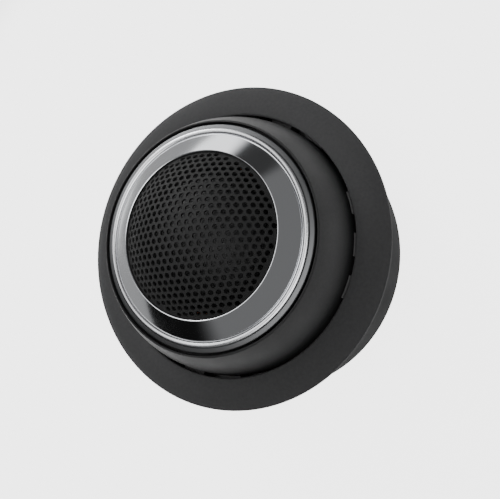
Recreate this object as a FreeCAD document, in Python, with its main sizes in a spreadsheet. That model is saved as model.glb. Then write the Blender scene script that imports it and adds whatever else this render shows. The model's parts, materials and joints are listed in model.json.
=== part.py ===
"""Surface-mount car tweeter whose ball swivels and tilts in a screw-down cup. Millimetres.

The origin is the centre of the rear mounting face and +Z points out of the front. Each sub-part is
drawn about the flange plane, the plane of the bezel's outer edge, with depths below it and heights
above it, and its Placement lifts it by flange_height. The ball's centre lies in that plane.
"""
import FreeCAD, Part
import math
import os
import re
import Sketcher

Vector = FreeCAD.Vector

# Driving dimensions: alias, value, what it is. Radii are from the tweeter's axis.
SIZES = [
    ("flange_height", 18.8, "rear mounting face to the flange plane"),
    ("flange_radius", 28.5, "outer edge of the bezel"),
    ("barrel_radius", 24.65, "outside of the cup"),
    ("barrel_wall", 1.0, "wall of the cup"),
    ("barrel_round", 0.4, "rounding of the cup's rear edge"),
    ("cup_depth", 17.8, "flange plane to the back of the cup's floor"),
    ("cup_floor", 1.5, "thickness of the cup's floor"),
    ("cup_flange_radius", 27.0, "flange of the cup, hidden under the bezel"),
    ("cup_flange_top", 0.6, "depth of the flange's front face"),
    ("cup_flange_back", 2.4, "depth of the flange's rear face"),
    ("gusset_radius", 26.0, "cone that stiffens the flange, at its wide end"),
    ("gusset_depth", 4.6, "depth where that cone meets the barrel"),
    ("seat_radius", 24.25, "counterbore that holds the swivel ring's rib"),
    ("seat_depth", 2.65, "depth of that counterbore"),
    ("rib_inner_radius", 22.1, "inner edge of the cup's upright ribs"),
    ("rib_width", 1.2, "width of one upright rib"),
    ("rib_count", 12, "upright ribs round the cup"),
    ("ledge_depth", 8.6, "depth of the ribs' tops, where the washer lies"),
    ("screw_hole_radius", 1.8, "mounting screw hole, radius"),
    ("screw_hole_offset", 15.0, "mounting screw hole, centre from the axis"),
    ("snap_count", 4, "snap hooks that hold the bezel"),
    ("snap_slot_inner", 25.05, "snap slot, inner side"),
    ("snap_slot_outer", 26.2, "snap slot, outer side"),
    ("snap_slot_width", 5.4, "snap slot, along the rim"),
    ("snap_width", 5.0, "snap hook, along the rim"),
    ("snap_inner", 25.2, "snap hook, inner side"),
    ("snap_outer", 26.0, "snap hook, outer side"),
    ("snap_barb_radius", 26.7, "tip of the hook's barb"),
    ("snap_barb_depth", 2.45, "depth of the barb's catching face"),
    ("snap_barb_edge", 0.2, "height of the barb's blunt edge"),
    ("snap_depth", 3.5, "depth of the hook's end"),
    ("snap_root", 0.3, "how far the hook reaches into the bezel"),
    ("opening_radius", 22.94, "bezel opening"),
    ("lip_height", 1.9, "top of the bezel's lip"),
    ("lip_under", 0.9, "underside of the bezel's lip"),
    ("lip_round", 0.3, "rounding of the lip"),
    ("flank_curve", 7.4, "radius of the bezel's convex flank"),
    ("flank_inset", 0.22, "flank's end, in from the outer edge"),
    ("flank_end_height", 0.14, "height of the flank's end"),
    ("rim_round", 0.25, "rounding of the outer edge"),
    ("rim_depth", 0.45, "depth of the outer edge's rear corner"),
    ("rim_chamfer", 0.15, "chamfer of that corner"),
    ("bezel_bore", 23.6, "bezel's bore behind the lip"),
    ("skirt_radius", 24.15, "bezel's skirt inside the counterbore"),
    ("skirt_depth", 1.25, "depth of the skirt's end"),
    ("pad_radius", 24.0, "adhesive pad, outside"),
    ("pad_thickness", 1.0, "thickness of the adhesive pad"),
    ("pad_centre_hole", 5.6, "hole in the pad round the grommet, radius"),
    ("pad_screw_hole", 2.6, "hole in the pad round a screw, radius"),
    ("cable_radius", 1.6, "bore of the cable grommet"),
    ("grommet_neck", 4.0, "grommet's neck in the cup's floor, radius"),
    ("grommet_flange", 5.2, "grommet's flanges, radius"),
    ("grommet_lip", 0.8, "thickness of one grommet flange"),
    ("grommet_nose", 2.9, "grommet's tapered nose, radius at its end"),
    ("grommet_taper", 1.5, "height of the taper"),
    ("grommet_nose_land", 0.6, "straight end of the nose"),
    ("washer_inner", 22.2, "friction washer, bore"),
    ("washer_outer", 23.5, "friction washer, outside"),
    ("washer_thickness", 0.3, "thickness of the friction washer"),
    ("ball_radius", 22.4, "outside of the ball"),
    ("ball_wall", 1.6, "wall of the ball's two shells"),
    ("socket_radius", 22.55, "spherical inside of the swivel ring"),
    ("ring_radius", 23.45, "outside of the swivel ring, behind its fingers' tips"),
    ("ring_depth", 8.25, "depth of the swivel ring's rear face"),
    ("ring_rib_radius", 24.1, "rib that holds the ring in the cup"),
    ("ring_rib_top", 1.4, "depth of the rib's front face"),
    ("ring_rib_back", 2.6, "depth of the rib's rear face"),
    ("ring_step_height", 0.75, "shoulder under the bezel's lip"),
    ("finger_height", 1.45, "tips of the ring's fingers"),
    ("finger_radius", 22.85, "outside of a finger's tip"),
    ("finger_bevel", 0.12, "bevel of a finger's tip"),
    ("finger_count", 20, "places for a finger round the ring"),
    ("finger_slot", 3.2, "slot between two fingers"),
    ("finger_slot_depth", 5.2, "depth of the slots' floors"),
    ("cheek_start", 20.3, "the tall fingers stand past this distance along X"),
    ("pin_count", 2, "pivot pins, one on each side"),
    ("pin_radius", 0.8, "pivot pin, radius"),
    ("pin_clearance", 0.05, "running clearance in the swivel ring"),
    ("pin_seat_clearance", 0.03, "clearance between the shells"),
    ("pin_head_radius", 1.4, "head of the pin, inside the ball"),
    ("pin_head_start", 20.0, "inner end of the head"),
    ("pin_head_end", 20.7, "outer end of the head"),
    ("pin_end", 23.35, "outer end of the pin"),
    ("shoulder_height", 10.2, "where the ball's sphere ends"),
    ("shoulder_round", 0.35, "rounding of the ball's front edge"),
    ("shoulder_crown", 10.42, "inner end of that rounding"),
    ("front_bore", 19.6, "bore round the trim ring"),
    ("seat_height", 8.2, "seat of the trim ring and the driver"),
    ("seat_thickness", 1.4, "thickness of that seat"),
    ("driver_bore", 15.8, "hole in the seat for the yoke"),
    ("rear_depth", 10.0, "flat back of the ball"),
    ("rear_floor", 1.5, "thickness of the flat back"),
    ("wire_hole", 2.2, "wire hole in the flat back, radius"),
    ("boss_offset", 17.4, "shell screw, centre from the axis"),
    ("boss_radius", 1.75, "front screw boss"),
    ("rear_boss_radius", 2.0, "rear screw boss"),
    ("boss_hole", 0.75, "pilot hole in the front boss, radius"),
    ("boss_hole_height", 5.4, "end of the pilot hole"),
    ("rear_boss_hole", 0.8, "through hole in the rear boss, radius"),
    ("head_recess", 1.55, "recess for the screw head, radius"),
    ("head_seat_depth", 8.6, "depth of the recess's floor"),
    ("shell_screw_count", 3, "screws that join the two shells"),
    ("shell_screw_head", 1.4, "screw head, radius"),
    ("shell_screw_head_height", 1.1, "height of the screw head"),
    ("shell_screw_radius", 0.7, "screw shank, radius"),
    ("shell_screw_end", 5.0, "height of the screw's tip"),
    ("shell_screw_point", 0.5, "length of the screw's point"),
    ("shell_screw_drive", 0.7, "hexagon drive, centre to corner"),
    ("shell_screw_drive_depth", 0.6, "depth of the hexagon drive"),
    ("tab_notch_outer", 16.9, "notch in the seat for a terminal tab"),
    ("tab_notch_width", 2.6, "width of that notch"),
    ("trim_inner", 13.95, "trim ring's nose, centre of its rounding"),
    ("trim_nose", 0.25, "rounding of the nose"),
    ("trim_nose_height", 13.12, "height of that rounding's centre"),
    ("cone_top_radius", 14.096, "trim ring's cone, top edge"),
    ("cone_top_height", 13.323, "trim ring's cone, top edge"),
    ("cone_foot_radius", 17.15, "trim ring's cone, foot"),
    ("cone_foot_height", 11.12, "trim ring's cone, foot"),
    ("groove_radius", 17.22, "groove between cone and bead"),
    ("bead_inner", 17.35, "raised bead, inner foot"),
    ("bead_inner_height", 10.72, "raised bead, inner foot"),
    ("bead_outer", 18.27, "raised bead, outer foot"),
    ("bead_outer_height", 10.86, "raised bead, outer foot"),
    ("bead_curve", 0.75, "radius of the bead's rounded top"),
    ("step_inner", 18.36, "sloping step outside the bead, inner edge"),
    ("step_height", 10.52, "height of the step's inner edge"),
    ("step_edge_height", 10.36, "height of the step's outer edge"),
    ("trim_outer", 19.2, "outside of the trim ring"),
    ("trim_edge_round", 0.2, "rounding of the outside edge"),
    ("trim_foot_height", 8.25, "rear end of the trim ring"),
    ("trim_skirt_inner", 18.2, "inside of the trim ring's skirt"),
    ("trim_skirt_top", 10.0, "inside corner of the skirt"),
    ("trim_web_radius", 17.2, "underside below the groove"),
    ("trim_web_height", 10.15, "underside below the groove"),
    ("trim_under_outer", 16.6, "underside of the cone, outer end"),
    ("trim_under_outer_height", 10.95, "underside of the cone, outer end"),
    ("trim_under_inner", 14.25, "underside of the cone, inner end"),
    ("trim_under_inner_height", 12.65, "underside of the cone, inner end"),
    ("mesh_apex", 18.25, "top of the mesh dome"),
    ("mesh_curve", 20.65, "radius of the mesh dome"),
    ("mesh_sheet", 0.4, "thickness of the mesh"),
    ("mesh_bend", 14.0, "where the dome turns into its plain rim"),
    ("mesh_bend_inside", 13.7, "the same bend on the inside"),
    ("mesh_edge", 16.2, "outer edge of the plain rim"),
    ("mesh_edge_height", 11.19, "outer edge of the plain rim, top"),
    ("mesh_edge_under", 10.7, "outer edge of the plain rim, underside"),
    ("mesh_pitch", 1.35, "hole to hole"),
    ("mesh_hole", 0.45, "radius of a hole"),
    ("mesh_drill", 2.4, "length of the tool that cuts a hole"),
    ("mesh_field", 13.5, "holes whose centres lie inside this radius"),
    ("mesh_turn", 5.5, "angle of a row of holes, degrees"),
    ("mesh_shift_across", -0.19, "nearest hole to the apex, along X"),
    ("mesh_shift_up", 0.07, "nearest hole to the apex, along Y"),
    ("retainer_base", 9.2, "foot of the grille retainer"),
    ("retainer_outer", 17.9, "outside of the grille retainer's foot"),
    ("retainer_flange_height", 9.8, "retainer's flange, outer edge"),
    ("retainer_step", 16.3, "retainer's upright, outside"),
    ("retainer_step_height", 10.0, "retainer's flange at the upright"),
    ("retainer_lip_height", 10.6, "slanted seat, outer end"),
    ("retainer_inner", 14.8, "slanted seat, inner end"),
    ("retainer_inner_height", 11.68, "slanted seat, inner end"),
    ("retainer_throat", 15.5, "inside of the retainer's foot"),
    ("retainer_throat_height", 10.5, "top of that inside wall"),
    ("retainer_edge_height", 11.1, "underside of the inner edge"),
    ("plate_inner", 13.6, "diaphragm plate, bore"),
    ("plate_outer", 18.0, "diaphragm plate, outside"),
    ("plate_slot_outer", 16.7, "lead slot in the plate, outer end"),
    ("plate_slot_width", 2.4, "lead slot in the plate, width"),
    ("surround_outer", 15.2, "surround's glued edge"),
    ("surround_sheet", 0.2, "thickness of the surround"),
    ("roll_outer", 14.35, "half roll, outer foot"),
    ("roll_inner", 12.85, "half roll, inner foot"),
    ("roll_curve", 0.78, "half roll, top radius"),
    ("roll_under_curve", 0.6, "half roll, underside radius"),
    ("surround_inner", 12.62, "surround's inner edge"),
    ("dome_radius", 12.5, "soft dome, edge"),
    ("dome_height", 15.3, "soft dome, apex"),
    ("dome_base", 9.4, "soft dome, foot of its curve"),
    ("dome_curve", 16.19, "radius of the soft dome"),
    ("dome_sheet", 0.25, "thickness of the soft dome"),
    ("dome_rim", 0.3, "height and width of its glued rim"),
    ("former_inner", 12.3, "voice coil former, bore"),
    ("former_outer", 12.4, "voice coil former, outside"),
    ("former_foot", 3.6, "rear end of the former"),
    ("coil_outer", 12.8, "outside of the winding"),
    ("coil_foot", 5.1, "rear end of the winding"),
    ("coil_top", 8.1, "front end of the winding"),
    ("yoke_radius", 15.5, "outside of the yoke"),
    ("yoke_bore", 13.3, "inside of the yoke"),
    ("yoke_back", 1.2, "depth of the yoke's back"),
    ("yoke_floor", 1.2, "height of the yoke's inside floor"),
    ("yoke_chamfer", 0.5, "chamfer of the yoke's rear edge"),
    ("magnet_radius", 10.8, "neodymium disc, outside"),
    ("magnet_top", 5.2, "neodymium disc, front face"),
    ("pole_radius", 11.9, "pole plate, outside"),
    ("pole_top", 7.9, "pole plate, front face"),
    ("felt_radius", 9.5, "felt disc under the dome, outside"),
    ("felt_thickness", 1.0, "thickness of that felt disc"),
    ("foam_outer", 13.0, "foam disc behind the yoke, outside"),
    ("foam_inner", 2.6, "hole in the foam disc"),
    ("foam_gap", 0.1, "gap between the foam disc and its neighbours"),
    ("tab_count", 2, "terminal tabs, one on each side"),
    ("tab_inner", 16.05, "terminal tab, inner face"),
    ("tab_thickness", 0.4, "thickness of a terminal tab"),
    ("tab_width", 2.0, "width of a terminal tab"),
    ("tab_top", 9.0, "terminal tab, front end"),
    ("tab_foot", 3.0, "terminal tab, rear end"),
    ("tab_eye", 0.45, "solder eye, radius"),
    ("tab_eye_height", 4.1, "solder eye, centre"),
    ("lead_radius", 0.15, "tinsel lead, radius"),
    ("lead_height", 8.7, "tinsel lead, height of its axis"),
    ("lead_inner", 13.1, "tinsel lead, end at the coil"),
]

doc = FreeCAD.newDocument("CarTweeter")
sheet = doc.addObject("Spreadsheet::Sheet", "Sizes")
parts = []


def fill_sheet():
    """Write each driving dimension to the sheet and give its cell an alias."""
    for row, (alias, number, note) in enumerate(SIZES, 1):
        sheet.set(f"A{row}", note)
        sheet.set(f"B{row}", str(number))
        sheet.setAlias(f"B{row}", alias)
    doc.recompute()


def linked(text):
    """Turn the aliases in an expression, which all hold an underscore, into references to the sheet."""
    return re.sub(r"\b([a-z]+(?:_[a-z]+)+)\b", r"Sizes.\1", text)


def value(text):
    """The number that an expression of aliases gives now."""
    return float(sheet.evalExpression(linked(text)))


def finish_part(part, label):
    """Name a sub-part, lift it to its place and list it for export."""
    part.Label = label
    part.setExpression(".Placement.Base.z", "Sizes.flange_height")
    parts.append(part)
    return part


def new_body(label):
    body = doc.addObject("PartDesign::Body", label + "_body")
    return finish_part(body, label)


def new_sketch(body, name, role, lift="0", along="0", turn="0"):
    """A sketch on one of the body's origin planes, moved off it by lift, along it and turned."""
    plane = [item for item in body.Origin.OriginFeatures if item.Role == role][0]
    sketch = body.newObject("Sketcher::SketchObject", name)
    sketch.AttachmentSupport = [(plane, "")]
    sketch.MapMode = "FlatFace"
    about_normal = FreeCAD.Rotation(Vector(0, 0, 1), value(turn))
    sketch.AttachmentOffset = FreeCAD.Placement(Vector(0, 0, 0), about_normal)
    sketch.setExpression(".AttachmentOffset.Base.z", linked(lift))
    sketch.setExpression(".AttachmentOffset.Base.x", linked(along))
    return sketch


def bind(sketch, constraint, text):
    """Add a dimension and bind it to an expression of the sheet."""
    index = sketch.addConstraint(constraint)
    sketch.setExpression(f"Constraints[{index}]", linked(text))


def arc_between(start, end, radius):
    """The arc of that radius from start to end; a negative radius runs clockwise."""
    chord = end - start
    half = chord.Length / 2
    rise = math.sqrt(max(radius * radius - half * half, 0))
    side = Vector(-chord.y, chord.x, 0).normalize()
    centre = (start + end) / 2 + side * (rise if radius > 0 else -rise)
    first, last = (start, end) if radius > 0 else (end, start)
    angles = [math.atan2(point.y - centre.y, point.x - centre.x) for point in (first, last)]
    circle = Part.Circle(centre, Vector(0, 0, 1), abs(radius))
    return Part.ArcOfCircle(circle, angles[0], angles[1])


def outline(sketch, corners):
    """A closed outline. A corner is two expressions, and a third is the radius of the arc after it:
    one that starts with a minus sign runs clockwise."""
    spots = [Vector(value(corner[0]), value(corner[1]), 0) for corner in corners]
    sides = []
    for index, corner in enumerate(corners):
        start = spots[index]
        end = spots[(index + 1) % len(corners)]
        if len(corner) == 2:
            sides.append((sketch.addGeometry(Part.LineSegment(start, end), False), 1, 2))
        else:
            radius = value(corner[2])
            edge = sketch.addGeometry(arc_between(start, end, radius), False)
            sides.append((edge, 1, 2) if radius > 0 else (edge, 2, 1))
    for index, (edge, first, last) in enumerate(sides):
        follower = sides[(index + 1) % len(sides)]
        sketch.addConstraint(Sketcher.Constraint("Coincident", edge, last, follower[0], follower[1]))
    for corner, spot, (edge, first, last) in zip(corners, spots, sides):
        bind(sketch, Sketcher.Constraint("DistanceX", -1, 1, edge, first, spot.x), corner[0])
        bind(sketch, Sketcher.Constraint("DistanceY", -1, 1, edge, first, spot.y), corner[1])
        if len(corner) == 3:
            radius = corner[2].lstrip("-")
            bind(sketch, Sketcher.Constraint("Radius", edge, value(radius)), radius)
    doc.recompute()


def circle(sketch, across, up, radius):
    """A circle whose centre and radius are expressions."""
    centre = Vector(value(across), value(up), 0)
    shape = Part.Circle(centre, Vector(0, 0, 1), value(radius))
    edge = sketch.addGeometry(shape, False)
    bind(sketch, Sketcher.Constraint("DistanceX", -1, 1, edge, 3, centre.x), across)
    bind(sketch, Sketcher.Constraint("DistanceY", -1, 1, edge, 3, centre.y), up)
    bind(sketch, Sketcher.Constraint("Radius", edge, value(radius)), radius)


def rectangle(sketch, left, right, width):
    """A rectangle from left to right along X, centred on the X axis."""
    outline(sketch, [(left, f"-({width}) / 2"), (right, f"-({width}) / 2"),
                     (right, f"({width}) / 2"), (left, f"({width}) / 2")])


def turned(body, name, corners, axis="V_Axis"):
    """Revolve an outline drawn in the XZ plane, radius first and height second."""
    sketch = new_sketch(body, name + "_outline", "XZ_Plane")
    outline(sketch, corners)
    revolution = body.newObject("PartDesign::Revolution", name)
    revolution.Profile = sketch
    revolution.ReferenceAxis = (sketch, [axis])
    revolution.Angle = 360
    doc.recompute()
    return revolution


def padded(body, name, sketch, length, both_ways=False):
    pad = body.newObject("PartDesign::Pad", name)
    pad.Profile = sketch
    pad.setExpression(".Length", linked(length))
    pad.Midplane = both_ways
    doc.recompute()
    return pad


def pocketed(body, name, sketch, length=None, towards_front=False):
    """Cut a sketch's outline into the body, both ways right through when no length is given."""
    before = body.Shape.Volume
    pocket = body.newObject("PartDesign::Pocket", name)
    pocket.Profile = sketch
    if length is None:
        pocket.Type = "ThroughAll"
        pocket.Midplane = True
    else:
        pocket.Type = "Length"
        pocket.setExpression(".Length", linked(length))
        pocket.Reversed = towards_front
    doc.recompute()
    if not body.Shape.Volume < before - 1e-6:
        raise RuntimeError(f"{body.Label}: {name} cuts nothing")
    return pocket


def repeated(body, name, features, count):
    """Repeat features round the tweeter's axis."""
    axis = [item for item in body.Origin.OriginFeatures if item.Role == "Z_Axis"][0]
    pattern = body.newObject("PartDesign::PolarPattern", name)
    pattern.Originals = features
    pattern.Axis = (axis, [""])
    pattern.Angle = 360
    pattern.setExpression(".Occurrences", linked(count))
    body.Tip = pattern
    doc.recompute()
    return pattern


def sphere_radius_at(radius, height):
    """Expression for the radius of a sphere about the ball's centre, at that height."""
    return f"sqrt(({radius})^2 - ({height})^2)"


def make_mount_cup():
    body = new_body("mount_cup")
    inside = "barrel_radius - barrel_wall"
    turned(body, "cup_wall", [
        ("0", "-cup_depth"),
        ("barrel_radius - barrel_round", "-cup_depth", "barrel_round"),
        ("barrel_radius", "barrel_round - cup_depth"),
        ("barrel_radius", "-gusset_depth"),
        ("gusset_radius", "-cup_flange_back"),
        ("cup_flange_radius", "-cup_flange_back"),
        ("cup_flange_radius", "-cup_flange_top"),
        ("seat_radius", "-cup_flange_top"),
        ("seat_radius", "-seat_depth"),
        (inside, "-seat_depth"),
        (inside, "cup_floor - cup_depth"),
        ("0", "cup_floor - cup_depth"),
    ])
    rib_sketch = new_sketch(body, "rib_outline", "XY_Plane", lift="cup_floor - cup_depth",
                            turn="180 / rib_count")
    rectangle(rib_sketch, "rib_inner_radius", inside + " + barrel_wall / 2", "rib_width")
    rib = padded(body, "rib", rib_sketch, "cup_depth - cup_floor - ledge_depth")
    repeated(body, "ribs", [rib], "rib_count")
    slot_sketch = new_sketch(body, "snap_slot_outline", "XY_Plane", lift="-cup_flange_top")
    rectangle(slot_sketch, "snap_slot_inner", "snap_slot_outer", "snap_slot_width")
    slot = pocketed(body, "snap_slot", slot_sketch, "gusset_depth")
    repeated(body, "snap_slots", [slot], "snap_count")
    holes = new_sketch(body, "floor_holes_outline", "XY_Plane")
    circle(holes, "0", "0", "grommet_neck")
    circle(holes, "screw_hole_offset", "0", "screw_hole_radius")
    circle(holes, "-screw_hole_offset", "0", "screw_hole_radius")
    pocketed(body, "floor_holes", holes)


def make_bezel_ring():
    body = new_body("bezel_ring")
    turned(body, "bezel", [
        ("opening_radius", "lip_under"),
        ("bezel_bore", "lip_under"),
        ("bezel_bore", "-skirt_depth"),
        ("skirt_radius", "-skirt_depth"),
        ("skirt_radius", "-cup_flange_top"),
        ("flange_radius - rim_chamfer", "-rim_depth - rim_chamfer"),
        ("flange_radius", "-rim_depth"),
        ("flange_radius", "flank_end_height - rim_round", "rim_round"),
        ("flange_radius - flank_inset", "flank_end_height", "flank_curve"),
        ("opening_radius + lip_round", "lip_height", "lip_round"),
        ("opening_radius", "lip_height - lip_round"),
    ])
    hook_sketch = new_sketch(body, "hook_outline", "XZ_Plane")
    outline(hook_sketch, [
        ("snap_inner", "-snap_depth"),
        ("snap_outer", "-snap_depth"),
        ("snap_barb_radius", "-snap_barb_depth - snap_barb_edge"),
        ("snap_barb_radius", "-snap_barb_depth"),
        ("snap_outer", "-snap_barb_depth"),
        ("snap_outer", "snap_root - cup_flange_top"),
        ("snap_inner", "snap_root - cup_flange_top"),
    ])
    hook = padded(body, "hook", hook_sketch, "snap_width", both_ways=True)
    repeated(body, "hooks", [hook], "snap_count")


def make_adhesive_pad():
    body = new_body("adhesive_pad")
    sketch = new_sketch(body, "pad_outline", "XY_Plane", lift="-cup_depth - pad_thickness")
    circle(sketch, "0", "0", "pad_radius")
    circle(sketch, "0", "0", "pad_centre_hole")
    circle(sketch, "screw_hole_offset", "0", "pad_screw_hole")
    circle(sketch, "-screw_hole_offset", "0", "pad_screw_hole")
    padded(body, "foam_disc", sketch, "pad_thickness")


def make_cable_grommet():
    body = new_body("cable_grommet")
    floor = "cup_floor - cup_depth"
    turned(body, "gland", [
        ("cable_radius", "-cup_depth - grommet_lip"),
        ("grommet_flange", "-cup_depth - grommet_lip"),
        ("grommet_flange", "-cup_depth"),
        ("grommet_neck", "-cup_depth"),
        ("grommet_neck", floor),
        ("grommet_flange", floor),
        ("grommet_flange", floor + " + grommet_lip"),
        ("grommet_nose", floor + " + grommet_lip + grommet_taper"),
        ("grommet_nose", floor + " + grommet_lip + grommet_taper + grommet_nose_land"),
        ("cable_radius", floor + " + grommet_lip + grommet_taper + grommet_nose_land"),
    ])


def make_friction_washer():
    body = new_body("friction_washer")
    sketch = new_sketch(body, "washer_outline", "XY_Plane", lift="-ledge_depth")
    circle(sketch, "0", "0", "washer_outer")
    circle(sketch, "0", "0", "washer_inner")
    padded(body, "washer", sketch, "washer_thickness")


def make_swivel_ring():
    """The ball's socket. Its tall fingers stand only near the pins; elsewhere it ends at its rib."""
    body = new_body("swivel_ring")
    turned(body, "socket", [
        (sphere_radius_at("socket_radius", "ring_depth"), "-ring_depth"),
        ("ring_radius", "-ring_depth"),
        ("ring_radius", "-ring_rib_back"),
        ("ring_rib_radius", "-ring_rib_back"),
        ("ring_rib_radius", "-ring_rib_top"),
        ("ring_radius", "-ring_rib_top"),
        ("ring_radius", "ring_step_height"),
        ("finger_radius", "ring_step_height"),
        ("finger_radius", "finger_height - finger_bevel"),
        ("finger_radius - finger_bevel", "finger_height"),
        (sphere_radius_at("socket_radius", "finger_height"), "finger_height", "-socket_radius"),
    ])
    slot_sketch = new_sketch(body, "slot_outline", "XY_Plane", lift="lip_height",
                             turn="180 / finger_count")
    rectangle(slot_sketch, "ball_radius - ball_wall", "flange_radius", "finger_slot")
    slot = pocketed(body, "slot", slot_sketch, "lip_height + finger_slot_depth")
    repeated(body, "slots", [slot], "finger_count")
    clear_sketch = new_sketch(body, "clear_outline", "XY_Plane", lift="-ring_rib_top")
    rectangle(clear_sketch, "-cheek_start", "cheek_start", "flange_radius * 2")
    pocketed(body, "clear", clear_sketch, "ring_rib_top + lip_height", towards_front=True)
    holes = new_sketch(body, "pin_holes_outline", "YZ_Plane")
    circle(holes, "0", "0", "pin_radius + pin_clearance")
    pocketed(body, "pin_holes", holes)


def make_front_shell():
    body = new_body("front_shell")
    inside = "ball_radius - ball_wall"
    under = "seat_height - seat_thickness"
    turned(body, "front_wall", [
        ("ball_radius", "0", "ball_radius"),
        (sphere_radius_at("ball_radius", "shoulder_height"), "shoulder_height", "shoulder_round"),
        ("front_bore", "shoulder_crown"),
        ("front_bore", "seat_height"),
        ("driver_bore", "seat_height"),
        ("driver_bore", under),
        (sphere_radius_at(inside, under), under, "-(ball_radius - ball_wall)"),
        (inside, "0"),
    ])
    boss_sketch = new_sketch(body, "boss_outline", "XY_Plane")
    circle(boss_sketch, "boss_offset", "0", "boss_radius")
    boss = padded(body, "boss", boss_sketch, under + " + seat_thickness / 2")
    repeated(body, "bosses", [boss], "shell_screw_count")
    pilot_sketch = new_sketch(body, "pilot_outline", "XY_Plane")
    circle(pilot_sketch, "boss_offset", "0", "boss_hole")
    pilot = pocketed(body, "pilot", pilot_sketch, "boss_hole_height", towards_front=True)
    repeated(body, "pilots", [pilot], "shell_screw_count")
    notch_sketch = new_sketch(body, "tab_notch_outline", "XY_Plane", lift="seat_height", turn="90")
    rectangle(notch_sketch, "yoke_bore", "tab_notch_outer", "tab_notch_width")
    notch = pocketed(body, "tab_notch", notch_sketch, "seat_thickness * 2")
    repeated(body, "tab_notches", [notch], "tab_count")
    cut_pin_seat(body)


def cut_pin_seat(body):
    """Half bores for the pivot pins, along X in the plane where the two shells meet."""
    sketch = new_sketch(body, "pin_seat_outline", "YZ_Plane")
    circle(sketch, "0", "0", "pin_radius + pin_seat_clearance")
    pocketed(body, "pin_seat", sketch)


def make_rear_shell():
    body = new_body("rear_shell")
    inside = "ball_radius - ball_wall"
    floor = "rear_depth - rear_floor"
    turned(body, "rear_wall", [
        ("0", "-rear_depth"),
        (sphere_radius_at("ball_radius", "rear_depth"), "-rear_depth", "ball_radius"),
        ("ball_radius", "0"),
        (inside, "0", "-(ball_radius - ball_wall)"),
        (sphere_radius_at(inside, floor), "rear_floor - rear_depth"),
        ("0", "rear_floor - rear_depth"),
    ])
    boss_sketch = new_sketch(body, "boss_outline", "XY_Plane", lift="rear_floor / 2 - rear_depth")
    circle(boss_sketch, "boss_offset", "0", "rear_boss_radius")
    boss = padded(body, "boss", boss_sketch, "rear_depth - rear_floor / 2")
    repeated(body, "bosses", [boss], "shell_screw_count")
    hole_sketch = new_sketch(body, "boss_hole_outline", "XY_Plane")
    circle(hole_sketch, "boss_offset", "0", "rear_boss_hole")
    hole = pocketed(body, "boss_hole", hole_sketch, "rear_depth")
    repeated(body, "boss_holes", [hole], "shell_screw_count")
    recess_sketch = new_sketch(body, "recess_outline", "XY_Plane", lift="-head_seat_depth")
    circle(recess_sketch, "boss_offset", "0", "head_recess")
    recess = pocketed(body, "recess", recess_sketch, "rear_depth")
    repeated(body, "recesses", [recess], "shell_screw_count")
    wire_sketch = new_sketch(body, "wire_hole_outline", "XY_Plane")
    circle(wire_sketch, "0", "0", "wire_hole")
    pocketed(body, "wire_opening", wire_sketch, "rear_depth")
    cut_pin_seat(body)


def make_pivot_pins():
    body = new_body("pivot_pins")
    pin = turned(body, "pin", [
        ("pin_head_start", "0"),
        ("pin_end", "0"),
        ("pin_end", "pin_radius"),
        ("pin_head_end", "pin_radius"),
        ("pin_head_end", "pin_head_radius"),
        ("pin_head_start", "pin_head_radius"),
    ], axis="H_Axis")
    repeated(body, "pins", [pin], "pin_count")


def make_shell_screws():
    body = new_body("shell_screws")
    sketch = new_sketch(body, "screw_outline", "XZ_Plane", along="boss_offset")
    head = "-head_seat_depth - shell_screw_head_height"
    outline(sketch, [
        ("0", head),
        ("shell_screw_head", head),
        ("shell_screw_head", "-head_seat_depth"),
        ("shell_screw_radius", "-head_seat_depth"),
        ("shell_screw_radius", "shell_screw_end - shell_screw_point"),
        ("shell_screw_radius / 3", "shell_screw_end"),
        ("0", "shell_screw_end"),
    ])
    screw = body.newObject("PartDesign::Revolution", "screw")
    screw.Profile = sketch
    screw.ReferenceAxis = (sketch, ["V_Axis"])
    screw.Angle = 360
    doc.recompute()
    drive_sketch = new_sketch(body, "drive_outline", "XY_Plane", lift=head)
    corners = []
    hexagon = 6
    for step in range(hexagon):
        across = math.cos(math.tau * step / hexagon)
        up = math.sin(math.tau * step / hexagon)
        corners.append((f"boss_offset + shell_screw_drive * {across:.6f}", f"shell_screw_drive * {up:.6f}"))
    outline(drive_sketch, corners)
    drive = pocketed(body, "drive", drive_sketch, "shell_screw_drive_depth", towards_front=True)
    repeated(body, "screws", [screw, drive], "shell_screw_count")


def make_trim_ring():
    body = new_body("trim_ring")
    turned(body, "trim", [
        ("trim_inner", "trim_nose_height - trim_nose"),
        ("trim_under_inner", "trim_under_inner_height"),
        ("trim_under_outer", "trim_under_outer_height"),
        ("trim_web_radius", "trim_web_height"),
        ("trim_skirt_inner", "trim_skirt_top"),
        ("trim_skirt_inner", "trim_foot_height"),
        ("trim_outer", "trim_foot_height"),
        ("trim_outer", "step_edge_height - trim_edge_round", "trim_edge_round"),
        ("trim_outer - trim_edge_round", "step_edge_height"),
        ("step_inner", "step_height"),
        ("bead_outer", "bead_outer_height", "bead_curve"),
        ("bead_inner", "bead_inner_height"),
        ("groove_radius", "bead_inner_height"),
        ("cone_foot_radius", "cone_foot_height"),
        ("cone_top_radius", "cone_top_height", "trim_nose"),
    ])


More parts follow.
